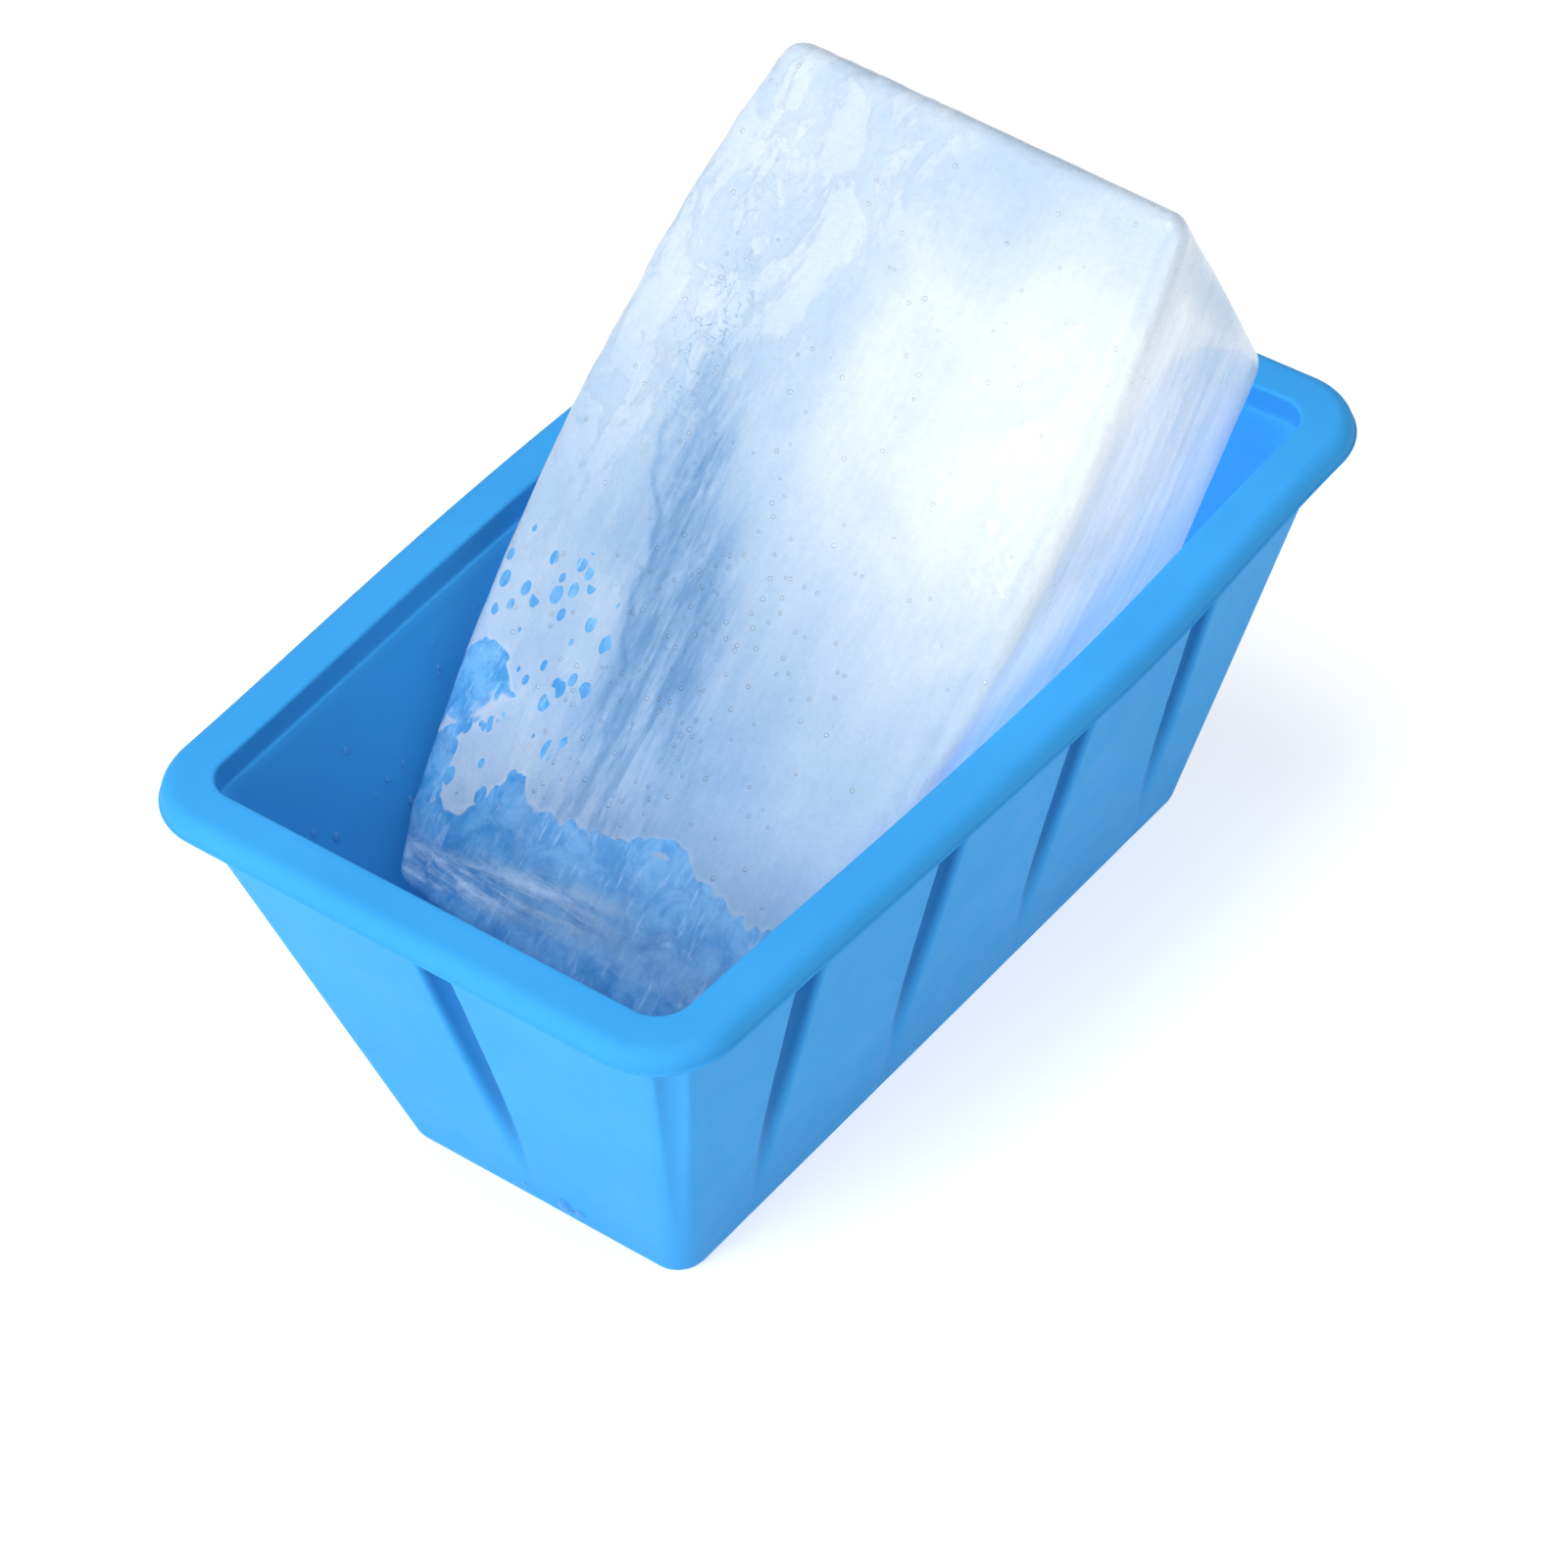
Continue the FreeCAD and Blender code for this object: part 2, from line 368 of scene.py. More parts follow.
# ---------------------------------------------------------------- materials
def silicone_material():
    n = Nodes("silicone")
    at = n.place()
    mottle = n.noise(at, 16.0, 4.0)
    cloud = n.noise(at, 55.0, 2.0)
    base = n.blend(n.remap(mottle, 0.3, 0.7), *SILICONE_MOTTLE)
    base = n.blend(n.remap(cloud, 0.55, 0.8, 0.0, 0.25), base, SILICONE_CLOUD)
    # painted shade: the flutes get darker the deeper they are
    base = n.blend(n.remap(n.attribute("flute_shade"), 0.02, 0.45), base, SILICONE_FLUTE_SHADE)
    grain = n.math("MULTIPLY", n.noise(at, 1600.0, 2.0), 0.35)
    surface = n.principled(
        Base_Color=base,
        Roughness=n.remap(n.noise(at, 90.0, 3.0), 0.3, 0.7, 0.42, 0.50),
        Subsurface_Weight=0.12,
        Subsurface_Scale=0.0012,
        IOR=SILICONE_IOR,
        Specular_IOR_Level=0.04,
        Normal=n.bump(n.math("ADD", grain, n.noise(at, 260.0, 3.0)), 0.00010, 0.5),
    )
    surface.inputs["Subsurface Radius"].default_value = SILICONE_SUBSURFACE
    return n.finish(surface.outputs[0])


# the cloudy ice's sRGB colour, from its darkest tone to its whitest
ICE_TONES = (
    (0.00, (60, 118, 172)),
    (0.16, (85, 131, 175)),
    (0.30, (108, 147, 187)),
    (0.43, (135, 167, 201)),
    (0.64, (175, 194, 214)),
    (0.80, (207, 217, 228)),
    (1.00, (248, 251, 255)),
)


def ice_pockets(n):
    """Air pockets: long ovals of mixed sizes, some cells left empty."""
    at = n.place(scale=(0.72, 1.15, 1.0), turn=(0.0, 0.0, 0.35))
    distance, size, chance = n.cells(at, 235.0)
    reach = n.remap(size, 0.1, 1.0, 0.0, 0.50)
    pocket = n.math("GREATER_THAN", n.math("SUBTRACT", reach, distance), 0.02)
    return n.math("MULTIPLY", pocket, n.math("GREATER_THAN", n.attribute("pockets"), chance))


def ice_seeds(n, at):
    """Small seeds of air standing proud of the face."""
    distance, chance, _ = n.cells(at, 330.0)
    wanted = n.math("GREATER_THAN", n.attribute("seeds"), chance)
    return n.math("MULTIPLY", n.remap(distance, 0.24, 0.10), wanted)


def ice_frost(n):
    """Frosted patches with crisp edges."""
    at = n.place(scale=(0.8, 1.5, 1.0), turn=(0.0, 0.0, 0.3))
    patch = n.remap(n.noise(at, 46.0, 9.0, 0.66, 0.5), 0.475, 0.53)
    return n.math("MULTIPLY", patch, n.attribute("frost"))


def ice_streaks(n):
    """Drawn-out lines in the face's dark streak."""
    at = n.place(scale=(0.16, 1.0, 1.0), turn=(0.0, 0.0, -0.12))
    drawn = n.remap(n.noise(at, 190.0, 5.0, 0.65, 0.4), 0.60, 0.40, -0.35, 1.0)
    return n.math("MULTIPLY", drawn, n.attribute("streak"))


def ice_fibres(n):
    """Fine fibres along the block, strongest in the dark streak."""
    at = n.place(scale=(0.16, 1.0, 1.0), turn=(0.0, 0.0, -0.06))
    fibre = n.remap(n.noise(at, 430.0, 5.0, 0.7, 0.3), 0.36, 0.64, -0.5, 0.5)
    return n.math("MULTIPLY", fibre, n.math("ADD", n.attribute("streak"), 0.25))


def ice_brushing(n):
    """Long brushed streaks on the sides."""
    at = n.place(scale=(0.07, 1.0, 1.0), turn=(0.0, -0.12, 0.0))
    brushed = n.centred(n.noise(at, 210.0, 6.0, 0.65, 0.3))
    return n.math("MULTIPLY", brushed, n.attribute("side"))


def ice_cracks(n, at):
    """Hairline cracks."""
    crack = n.math("ABSOLUTE", n.centred(n.noise(at, 48.0, 4.0, 0.6, 2.5)))
    return n.math("MULTIPLY", n.remap(crack, 0.012, 0.002), n.attribute("cracks"))


def ice_ramp(n, tone):
    """The cloudy ice's colour for a tone."""
    ramp = n.add("ShaderNodeValToRGB", {"Fac": n.math("MULTIPLY", tone, 0.8)})
    band = ramp.color_ramp
    while len(band.elements) < len(ICE_TONES):
        band.elements.new(0.5)
    for stop, (place, shade) in zip(band.elements, ICE_TONES):
        stop.position = place
        stop.color = (*colour(*shade), 1.0)
    return ramp.outputs[0]


def ice_window(n, at):
    """The shader of the clear ice, nearly opaque, with the blue of the mould behind it painted in and faint
    scratches.
    """
    mottle = n.remap(n.noise(at, 120.0, 7.0, 0.72, 0.4), 0.36, 0.64)
    along = n.place(scale=(0.22, 1.5, 1.0), turn=(0.0, 0.0, 0.8))
    scratch = n.remap(n.noise(along, 380.0, 5.0, 0.7, 0.3), 0.54, 0.68, 0.0, 0.5)
    window = n.principled(
        Base_Color=n.blend(scratch, n.blend(mottle, *WINDOW_PAINTED_VIEW), WINDOW_SCRATCH),
        Roughness=0.14,
        IOR=ICE_IOR,
        Specular_IOR_Level=0.5,
        Alpha=0.93,
        Normal=n.bump(n.noise(at, 90.0, 4.0), 0.0010, 0.5),
    )
    return window.outputs[0]


def ice_material():
    """Clear windows with a lobed, crisp border in cloudy ice that has many layers of marks."""
    n = Nodes("clear_ice")
    at = n.place()
    lobes = n.noise(at, 70.0, 2.6, 0.55, 0.5)
    field = n.layered(n.attribute("clear"), ("ADD", n.centred(lobes), 2.4))
    border = n.remap(n.math("ABSOLUTE", field), 0.22, 0.05)
    haze = n.remap(n.noise(at, 64.0, 7.0, 0.72, 0.6), 0.46, 0.62)
    rays = n.noise(n.place(scale=(1.0, 0.14, 1.0), turn=(0.0, 0.0, 0.15)), 240.0, 7.0, 0.72, 0.5)
    veil = n.math("MULTIPLY", n.remap(rays, 0.36, 0.60), n.attribute("splash"))
    pocket = ice_pockets(n)
    clear = n.remap(field, -0.05, 0.05)
    clear = n.math("MULTIPLY", clear, n.layered(1.0, ("SUBTRACT", haze, 0.20)))
    clear = n.math("MULTIPLY", clear, n.math("SUBTRACT", 1.0, veil))
    clear = n.math("MAXIMUM", clear, pocket)
    patch = ice_frost(n)
    fibre = ice_fibres(n)
    brushed = ice_brushing(n)
    seed = ice_seeds(n, at)
    tone = n.layered(
        n.attribute("tone"),
        ("ADD", n.centred(n.noise(at, 24.0, 5.0, 0.55, 0.8)), 0.26),
        ("ADD", veil, 0.38),
        ("ADD", patch, 0.07),
        ("SUBTRACT", ice_streaks(n), 0.14),
        ("ADD", n.centred(n.noise(at, 520.0, 3.0, 0.7)), 0.12),
        ("ADD", border, 0.07),
        ("ADD", fibre, 0.10),
        ("ADD", brushed, 0.40),
        ("SUBTRACT", ice_cracks(n, at), 0.35),
        ("ADD", seed, 0.16),
    )
    height = n.layered(
        n.noise(at, 110.0, 5.0, 0.6),
        ("ADD", n.noise(n.place(scale=(1.6, 0.6, 1.0)), 260.0, 4.0, 0.6), 0.30),
        ("ADD", patch, 0.14),
        ("ADD", fibre, 0.12),
        ("ADD", seed, 0.9),
        ("SUBTRACT", pocket, 0.8),
    )
    cloudy = n.principled(
        Base_Color=n.blend(n.math("MULTIPLY", veil, 0.6), ice_ramp(n, tone), ICE_VEIL),
        Roughness=n.remap(lobes, 0.3, 0.7, 0.25, 0.42),
        Subsurface_Weight=0.25,
        Subsurface_Scale=0.010,
        Specular_IOR_Level=0.4,
        IOR=ICE_IOR,
        Coat_Weight=0.35,
        Coat_Roughness=0.10,
        # painted glow: the surface gives out light where light carried inside the ice would come out
        Emission_Color=n.blend(n.remap(brushed, -0.2, 0.2), *ICE_PAINTED_GLOW),
        Emission_Strength=n.math("MULTIPLY", n.attribute("painted_glow"), 0.44),
        Normal=n.bump(height, 0.0013, 0.7),
    )
    cloudy.inputs["Subsurface Radius"].default_value = (1.0, 1.0, 1.0)
    mixed = n.add("ShaderNodeMixShader", {0: clear, 1: cloudy.outputs[0], 2: ice_window(n, at)})
    return n.finish(mixed.outputs[0])


def water_material():
    n = Nodes("water")
    at = n.place()
    surface = n.principled(
        Base_Color=n.blend(n.noise(at, 300.0), *WATER_TINTS),
        Roughness=n.remap(n.noise(at, 400.0), 0.3, 0.7, 0.03, 0.08),
        IOR=WATER_IOR,
        Specular_IOR_Level=0.5,
        Alpha=0.45,
    )
    return n.finish(surface.outputs[0])


def floor_material():
    n = Nodes("pale_floor")
    at = n.place()
    tone = n.remap(n.noise(at, 3.0, 2.0), 0.3, 0.7)
    surface = n.principled(
        Base_Color=n.blend(tone, *FLOOR_TINTS),
        Roughness=0.7,
        Specular_IOR_Level=0.2,
        Emission_Color=(1.0, 1.0, 1.0),
        Emission_Strength=0.64,
    )
    return n.finish(surface.outputs[0])


# ---------------------------------------------------------------- the moulding
def stations(half, flutes):
    """Places along a straight stretch: close together at its ends and flutes, wide apart between."""
    marks = [-half, -half + CORNER_REACH]
    for middle in flutes:
        marks += [middle - FLUTE_REACH, middle + FLUTE_REACH]
    marks += [half - CORNER_REACH, half]
    out = [-half]
    for index in range(len(marks) - 1):
        if index in (0, len(marks) - 2):
            steps = CORNER_REACH_STEPS
        else:
            steps = PANEL_STEPS if index % 2 else FLUTE_STEPS
        out += list(np.linspace(marks[index], marks[index + 1], steps + 1)[1:])
    return np.array(out)


def outline(half_x, half_y, radius):
    """One ring of plan points, counter-clockwise, and the plan normal at each."""
    straight_x = half_x - radius
    straight_y = half_y - radius
    points = []
    normals = []
    for quarter in range(4):
        facing = quarter * math.pi / 2
        out = np.array([math.cos(facing), math.sin(facing)])
        along = np.array([-out[1], out[0]])
        is_end = quarter % 2 == 0
        reach = half_x if is_end else half_y
        half = straight_y if is_end else straight_x
        for place in stations(half, END_FLUTES if is_end else LONG_FLUTES):
            points.append(out * reach + along * place)
            normals.append(out)
        centre = out * (reach - radius) + along * half
        for step in range(1, CORNER_STEPS):
            angle = facing + math.pi / 2 * step / CORNER_STEPS
            normal = np.array([math.cos(angle), math.sin(angle)])
            points.append(centre + normal * radius)
            normals.append(normal)
    return np.array(points), np.array(normals)


def wall_sizes(z):
    """Half length, half width and corner radius of the outside wall at height z."""
    rise = z / WALL_TOP
    half_x = lerp(BASE_HALF_X, RIM_HALF_X - RIM_OVERHANG, rise)
    half_y = lerp(BASE_HALF_Y, RIM_HALF_Y - RIM_OVERHANG, rise)
    return half_x, half_y, lerp(WALL_CORNER_BASE, WALL_CORNER_TOP, rise)


def rim_sizes(inset):
    """Half length, half width and corner radius of the rim, inset from its outer edge."""
    radius = RIM_CORNER - inset * (RIM_CORNER - MOUTH_CORNER) / RIM_FLAT
    return RIM_HALF_X - inset, RIM_HALF_Y - inset, radius


def cavity_sizes(z):
    """Half length, half width and corner radius of the casting space at height z."""
    rise = (z - FLOOR_Z) / (LEDGE_Z - FLOOR_Z)
    top_x, top_y, top_radius = rim_sizes(RIM_FLAT + LEDGE_WIDTH)
    half_x = lerp(FLOOR_HALF_X, top_x, rise)
    half_y = lerp(FLOOR_HALF_Y, top_y, rise)
    return half_x, half_y, lerp(FLOOR_CORNER, top_radius, rise)


def press(gap):
    """gap where it is well above zero and about zero where it is below, with a soft change between.

    Away from the flutes it comes out a few hundredths of a millimetre below zero.
    """
    return 0.5 * (gap + np.sqrt(gap * gap + LIP_SOFTNESS**2)) - LIP_OFFSET


def cut_depth(across, radius, depth):
    """How far a round cutter of that radius reaches in, at a distance across from its middle."""
    inside = np.sqrt(np.maximum(radius**2 - across**2, 0.0))
    beyond = np.maximum(np.abs(across) - radius, 0.0)
    return inside - radius + depth - 2 * beyond


def flute_wall(points, normals, z):
    """Presses the flutes into one ring of the outside wall.

    The second array is how deep the side flutes took each point, as a share of their full depth; it sets
    the painted shade in the flutes.
    """
    moved = points.copy()
    rise = max((z - FLUTE_TIP) / (WALL_TOP - FLUTE_TIP), FLUTE_TAIL)
    fullness = 1 - (1 - rise) ** FLUTE_RUN_OUT
    for facing, flutes in ((0, END_FLUTES), (1, LONG_FLUTES)):
        for side in (-1, 1):
            on_side = normals[:, facing] * side > ON_SIDE
            for middle in flutes:
                across = points[on_side, 1 - facing] - middle
                gap = cut_depth(across, FLUTE_RADIUS, FLUTE_DEPTH * fullness)
                moved[on_side, facing] -= side * press(gap)
    # how deep each point lies, for the painted shade in the flutes
    flute_shade = np.linalg.norm(moved - points, axis=1) / FLUTE_DEPTH
    half_x, half_y, radius = wall_sizes(z)
    rise = max((z - CORNER_FLUTE_TIP) / (WALL_TOP - CORNER_FLUTE_TIP), CORNER_FLUTE_TAIL)
    depth = CORNER_FLUTE_DEPTH * rise
    inset = radius * (1 - math.sqrt(0.5))
    for side_x in (-1, 1):
        for side_y in (-1, 1):
            out = np.array([side_x, side_y]) * math.sqrt(0.5)
            along = np.array([-out[1], out[0]])
            corner = np.array([side_x * (half_x - inset), side_y * (half_y - inset)])
            offset = points - corner
            across, outward = offset @ along, offset @ out
            near = (np.abs(across) < CORNER_FLUTE_ZONE) & (np.abs(outward) < CORNER_FLUTE_ZONE)
            gap = outward[near] + cut_depth(across[near], CORNER_FLUTE_RADIUS, depth)
            moved[near] -= press(gap)[:, None] * out
    return moved, flute_shade


def bowed(points, z):
    """The long walls belly outwards, most at the rim and the middle."""
    along = np.clip(points[:, 0] / (RIM_HALF_X - RIM_OVERHANG), -1, 1)
    amount = WALL_BOW * (1 - along**2) ** 2 * (z / HEIGHT) ** BOW_GROWTH
    out = points.copy()
    out[:, 1] += np.sign(points[:, 1]) * amount * np.clip(np.abs(points[:, 1]) / BASE_HALF_Y, 0, 1)
    return out


def rolled(points):
    """The rim of the loaded long side sinks towards its outer edge, a little past the middle."""
    out = points.copy()
    x, y, z = points.T
    outward = smoothstep(ROLL_START_Y, RIM_HALF_Y, -y) * smoothstep(WALL_TOP - ROLL_REACH_DOWN, WALL_TOP, z)
    out[:, 2] -= ROLL_DROP * outward * hill(x, ROLL_MIDDLE_X, ROLL_SPREAD_X)
    return out


def arc(steps):
    """Sine and cosine of angles spread evenly over a quarter turn."""
    for step in range(steps + 1):
        angle = math.radians(90 * (step / steps))
        yield math.sin(angle), math.cos(angle)


def moulding_rings():
    """Every ring of the section, from under the base, over the rim, to the middle of the floor.

    The second list holds how deep each point lies in a flute, as a share of the full depth, which sets the
    painted shade in the flutes.
    """
    rings = []
    flute_shades = []

    def ring(sizes, z, fluted=False):
        points, normals = outline(*sizes)
        # flute depth of each point, for the painted shade in the flutes
        depth = np.zeros(len(points))
        if fluted:
            points, depth = flute_wall(points, normals, z)
        points = bowed(points, z)
        rings.append(rolled(np.column_stack([points, np.full(len(points), z)])))
        flute_shades.append(depth)

    def shrunk(last, factors):
        for factor in factors:
            scaled = last.copy()
            scaled[:, :2] *= factor
            rings.append(scaled)
            flute_shades.append(np.zeros(len(scaled)))

    # under the base, and round its edge
    points, _ = outline(*grown(wall_sizes(0), -BASE_ROUND))
    shrunk(np.column_stack([points, np.zeros(len(points))]), DISC_RINGS)
    for sine, cosine in arc(7):
        z = BASE_ROUND * (1 - cosine)
        ring(grown(wall_sizes(z), -BASE_ROUND * (1 - sine)), z, fluted=z > 0)
    # up the outside wall and its fillet under the rim
    for z in np.linspace(BASE_ROUND, WALL_TOP - UNDER_RIM_FILLET, OUTSIDE_RINGS)[1:]:
        ring(wall_sizes(z), z, fluted=True)
    wall = wall_sizes(WALL_TOP)
    for sine, cosine in list(arc(5))[1:]:
        z = WALL_TOP - UNDER_RIM_FILLET * (1 - sine)
        ring(grown(wall, UNDER_RIM_FILLET * (1 - cosine)), z, fluted=True)
    # out along the rim's underside, round its edge, over the flash line and the top round
    for step in (0.35, 0.6, 0.85, 1.0):
        sizes = [lerp(a, b, step) for a, b in zip(wall, rim_sizes(RIM_UNDER_ROUND))]
        ring(sizes, WALL_TOP)
    for sine, cosine in list(arc(5))[1:]:
        ring(rim_sizes(RIM_UNDER_ROUND * (1 - sine)), WALL_TOP + RIM_UNDER_ROUND * (1 - cosine))
    z = WALL_TOP + RIM_UNDER_ROUND
    for rise, stand in ((0.25, 0.6), (0.5, 1.0), (0.75, 0.6), (1.0, 0.0)):
        ring(rim_sizes(-FLASH_STAND * stand), z + FLASH_HEIGHT * rise)
    for sine, cosine in arc(12):
        ring(rim_sizes(RIM_TOP_ROUND * (1 - cosine)), HEIGHT - RIM_TOP_ROUND * (1 - sine))
    # in across the flat top and down into the mouth, to the ledge
    for step in np.linspace(0, 1, 7)[1:]:
        inset = lerp(RIM_TOP_ROUND, RIM_FLAT - MOUTH_ROUND, step)
        ring(rim_sizes(inset), HEIGHT)
    for sine, cosine in list(arc(5))[1:]:
        ring(rim_sizes(RIM_FLAT - MOUTH_ROUND * (1 - sine)), HEIGHT - MOUTH_ROUND * (1 - cosine))
    for z in np.linspace(HEIGHT - MOUTH_ROUND, LEDGE_Z + 4 * LEDGE_EDGE, 6)[1:]:
        ring(rim_sizes(RIM_FLAT), z)
    ring(rim_sizes(RIM_FLAT + LEDGE_EDGE), LEDGE_Z + LEDGE_EDGE)
    ring(rim_sizes(RIM_FLAT + 0.5 * LEDGE_WIDTH), LEDGE_Z)
    ring(rim_sizes(RIM_FLAT + 0.85 * LEDGE_WIDTH), LEDGE_Z - LEDGE_EDGE)
    # down the inside wall, round into the floor and across it
    for z in np.linspace(LEDGE_Z - 5 * LEDGE_EDGE, FLOOR_Z + FLOOR_ROUND, INSIDE_RINGS):
        ring(cavity_sizes(z), z)
    for sine, cosine in list(arc(9))[1:]:
        inset = FLOOR_ROUND * (1 - cosine)
        z = FLOOR_Z + FLOOR_ROUND * (1 - sine)
        half_x, half_y, radius = cavity_sizes(z)
        ring((half_x - inset, half_y - inset, max(radius - inset, 0.002)), z)
    shrunk(rings[-1], DISC_RINGS[::-1])
    return rings, flute_shades


def build_moulding(material):
    rings, flute_shades = moulding_rings()
    count = len(rings[0])
    points = np.concatenate(rings)
    under_base = list(range(count))[::-1]
    inside_floor = list(range(len(points) - count, len(points)))
    faces = [under_base, *bands(len(rings), count), inside_floor]
    obj = mesh_object("mould_skin", points, faces, material)
    # each point's flute depth, for the painted shade in the flutes
    store(obj.data, "flute_shade", np.concatenate(flute_shades))
    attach(obj, "mould")
    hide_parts("mould_shell")


# ---------------------------------------------------------------- the cast block
def block_frame():
    """From the block's own frame, with x counted from its middle, to the row frame."""
    middle = Matrix.Translation((BLOCK_BOTTOM_HALF_LENGTH, 0, 0))
    roll = Matrix.Rotation(BLOCK_ROLL, 4, "X")
    tilt = Matrix.Rotation(-BLOCK_TILT, 4, "Y")
    turn = Matrix.Rotation(BLOCK_TURN, 4, "Z")
    return Matrix.Translation(BLOCK_LOW_EDGE) @ turn @ tilt @ roll @ middle


def rounded_box(half, radius, step):
    """Points and quads of a box with rounded edges, as six fine grids."""
    points = []
    faces = []
    for axis in range(3):
        u_axis, v_axis = (axis + 1) % 3, (axis + 2) % 3
        u_count = max(2, round(2 * half[u_axis] / step))
        v_count = max(2, round(2 * half[v_axis] / step))
        for side in (-1, 1):
            first = len(points)
            for i in range(u_count + 1):
                for j in range(v_count + 1):
                    p = [0.0, 0.0, 0.0]
                    p[axis] = side * half[axis]
                    p[u_axis] = half[u_axis] * (2 * i / u_count - 1)
                    p[v_axis] = half[v_axis] * (2 * j / v_count - 1)
                    points.append(p)
            for i in range(u_count):
                for j in range(v_count):
                    a = first + i * (v_count + 1) + j
                    quad = [a, a + v_count + 1, a + v_count + 2, a + 1]
                    faces.append(quad if side > 0 else quad[::-1])
    points = np.array(points)
    core = np.clip(points, radius - np.array(half), np.array(half) - radius)
    away = points - core
    away /= np.linalg.norm(away, axis=1)[:, None]
    return core + radius * away, faces


def block_half_width(along, height):
    """Half width at a place along the block (-1 to 1) and up it (0 to 1)."""
    bottom, face = (
        middle + high_end * along + belly * (1 - along**2) for middle, high_end, belly in BLOCK_WIDTHS
    )
    return lerp(bottom, face, height)


def block_points():
    half = (BLOCK_FACE_HALF_LENGTH, BLOCK_GRID_HALF_WIDTH, BLOCK_THICKNESS / 2)
    points, faces = rounded_box(half, BLOCK_ROUND, BLOCK_STEP)
    along, across, height = (points / np.array(half)).T
    height = (height + 1) / 2
    x = along * lerp(BLOCK_BOTTOM_HALF_LENGTH, BLOCK_FACE_HALF_LENGTH, height)
    y = across * block_half_width(along, height)
    z = height * BLOCK_THICKNESS
    return np.column_stack([x, y, z]), faces


def block_fields(x, y, z):
    """Where the ice is clear, cloudy, streaked or pitted, and where its sides carry painted shade, as
    smooth fields over the block.

    Millimetres: x runs from the low end (-) to the high end (+), y to the left, z up to the face.
    """
    x, y, z = x * MM, y * MM, z * MM
    on_face = smoothstep(84, 98, z)
    # the face's broad tone on its right and left, both whiter up the block
    right = 0.48 + 0.47 * smoothstep(-80, 52, x) - 0.14 * smoothstep(75, 120, x)
    right = right + 0.09 * smoothstep(-18, -44, y) * smoothstep(-92, -44, x)
    left = 0.57 + 0.25 * smoothstep(-50, 70, x)
    tone = lerp(right, left, smoothstep(-12, 18, y))
    # the dark streak, the split along its left side, and a darker line just inside the right edge
    middle = 10 + 26 * smoothstep(-50, 50, x)
    spread = 17 - 8 * smoothstep(-30, 30, x)
    streak = hill(y, middle, spread) * smoothstep(56, 24, x)
    tone = tone - 0.20 * streak * smoothstep(-90, -10, x)
    split = middle + 13 + 2 * np.sin(x / 6) + 0.8 * np.sin(x / 2.1)
    tone = tone - 0.17 * hill(y, split, 1.1) * smoothstep(34, 12, x) * smoothstep(-62, -40, x)
    along = np.clip(x / (MM * BLOCK_FACE_HALF_LENGTH), -1, 1)
    crease = -0.93 * MM * block_half_width(along, 1.0)
    tone = tone - 0.07 * hill(y, crease, 1.3)
    tone = tone + 0.05 * hill(y, 56, 8) * smoothstep(-30, 20, x)
    # the sides are white, but with painted shade in two places, and duller at the high end and underneath
    painted_side_shade = hill(x, 104, 16) * hill(z, 52, 30) + 0.5 * hill(x, 20, 40) * hill(z, 60, 22)
    away = np.maximum(smoothstep(100, 112, x), smoothstep(14, 4, z))
    tone = lerp(1.12 - 0.20 * painted_side_shade - 0.30 * away, tone, on_face)
    # clear windows: across the low end, up the left edge, and a hollow beside that
    low = (-82 - x - 2.5 * np.sin(y / 9) - 13 * smoothstep(32, 46, y)) / 10
    strip = np.minimum((y - 54.5 - 0.08 * (x + 100)) / 3, (-80 - x) / 6)
    hollow = 1.1 - np.hypot((x + 66) / 12, (y - 61) / 8)
    clear = np.maximum(np.maximum(low, strip), hollow)
    clear = np.where(z > 60, clear, -1.5)
    # the white splash across the low end's edge
    splash_line = -107 - 0.20 * (y - 20)
    splash = np.clip(1.5 - np.abs(x - splash_line) / 6, 0, 1) * smoothstep(-30, 10, y)
    # marks: air pockets low on the left, frost on the left and up the block, seeds, cracks
    pitted = smoothstep(23, 35, y) * smoothstep(-112, -104, x) * smoothstep(-10, -34, x)
    tone = tone + 0.10 * pitted
    pockets = np.maximum(pitted * 0.95, 0.06 * smoothstep(30, 46, y) * smoothstep(40, 10, x))
    frost = np.clip(smoothstep(2, 26, y + 0.25 * (x - 60)) + 0.05, 0, 1) * smoothstep(-40, 10, x)
    frost = np.maximum(frost, 0.6 * smoothstep(14, 30, y))
    seeds = 0.80 * hill(x, -30, 36) * hill(y, 0, 28) + 0.10
    cracks = 0.9 * hill(y, 46, 9) * hill(x, 52, 30) + 0.9 * smoothstep(-94, -108, x)
    return {
        "tone": tone,
        "clear": np.clip(clear, -1.5, 1.5),
        "streak": streak,
        "pockets": pockets * on_face,
        "frost": frost * on_face,
        "seeds": seeds * on_face,
        "cracks": np.clip(cracks, 0, 1) * on_face,
        "splash": splash * on_face,
        "side": (1 - on_face) * (1 - 0.8 * smoothstep(96, 112, np.abs(x))),
    }


def block_painted_glow(places):
    """Painted glow: light given out by the ice's surface to stand in for light carried inside the ice, as a
    share of the most that comes out.

    It is strongest on the right side at and below the rim's height, and faint on every side below
    the face.
    """
    x, y, z = places.T
    to_row = np.array(block_frame())
    row_height = (places @ to_row[:3, :3].T + to_row[:3, 3])[:, 2]
    along = np.clip(x / BLOCK_FACE_HALF_LENGTH, -1, 1)
    aside = -y / block_half_width(along, z / BLOCK_THICKNESS)
    near_rim = 0.3 + 0.7 * smoothstep(HEIGHT + 0.026, HEIGHT, row_height)
    below_face = smoothstep(0.098, 0.084, z)
    return np.maximum(smoothstep(0.93, 1.01, aside) * near_rim, 0.40 * below_face)


